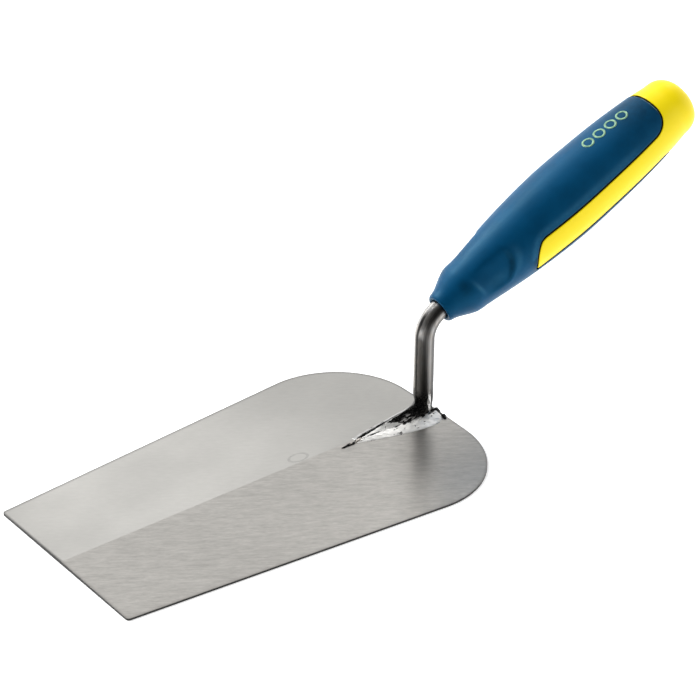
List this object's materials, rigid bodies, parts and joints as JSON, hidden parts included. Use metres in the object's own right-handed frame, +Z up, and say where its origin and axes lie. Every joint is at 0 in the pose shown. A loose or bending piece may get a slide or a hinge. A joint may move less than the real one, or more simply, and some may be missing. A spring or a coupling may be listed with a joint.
{
  "type": "brick trowel",
  "caption": "Brick trowel with a flared, straight-toed steel blade, a cranked round shank welded at the heel and a soft-grip handle with bare side strips.",
  "frame": {"origin": "on the blade's flat underside, straight below the upright part of the shank", "axes": "+X from the toe towards the heel and the handle's butt, +Y across the blade, +Z up from the blade towards the handle"},
  "size_m": [0.3101, 0.1124, 0.1154],
  "materials": {
    "blade_steel": "belt-ground",
    "shank_steel": "polished, heat-darkened at the weld",
    "weld_metal": "ground weld with rough dark patches",
    "core_yellow": "satin moulded",
    "grip_blue": "satin soft-touch"
  },
  "bodies": {
    "root": {"blade": "blade_steel", "shank": "shank_steel", "weld_left": "weld_metal", "weld_right": "weld_metal", "weld_heel": "weld_metal", "weld_tip": "weld_metal", "handle_core": "core_yellow", "grip": "grip_blue"}
  },
  "joints": []
}
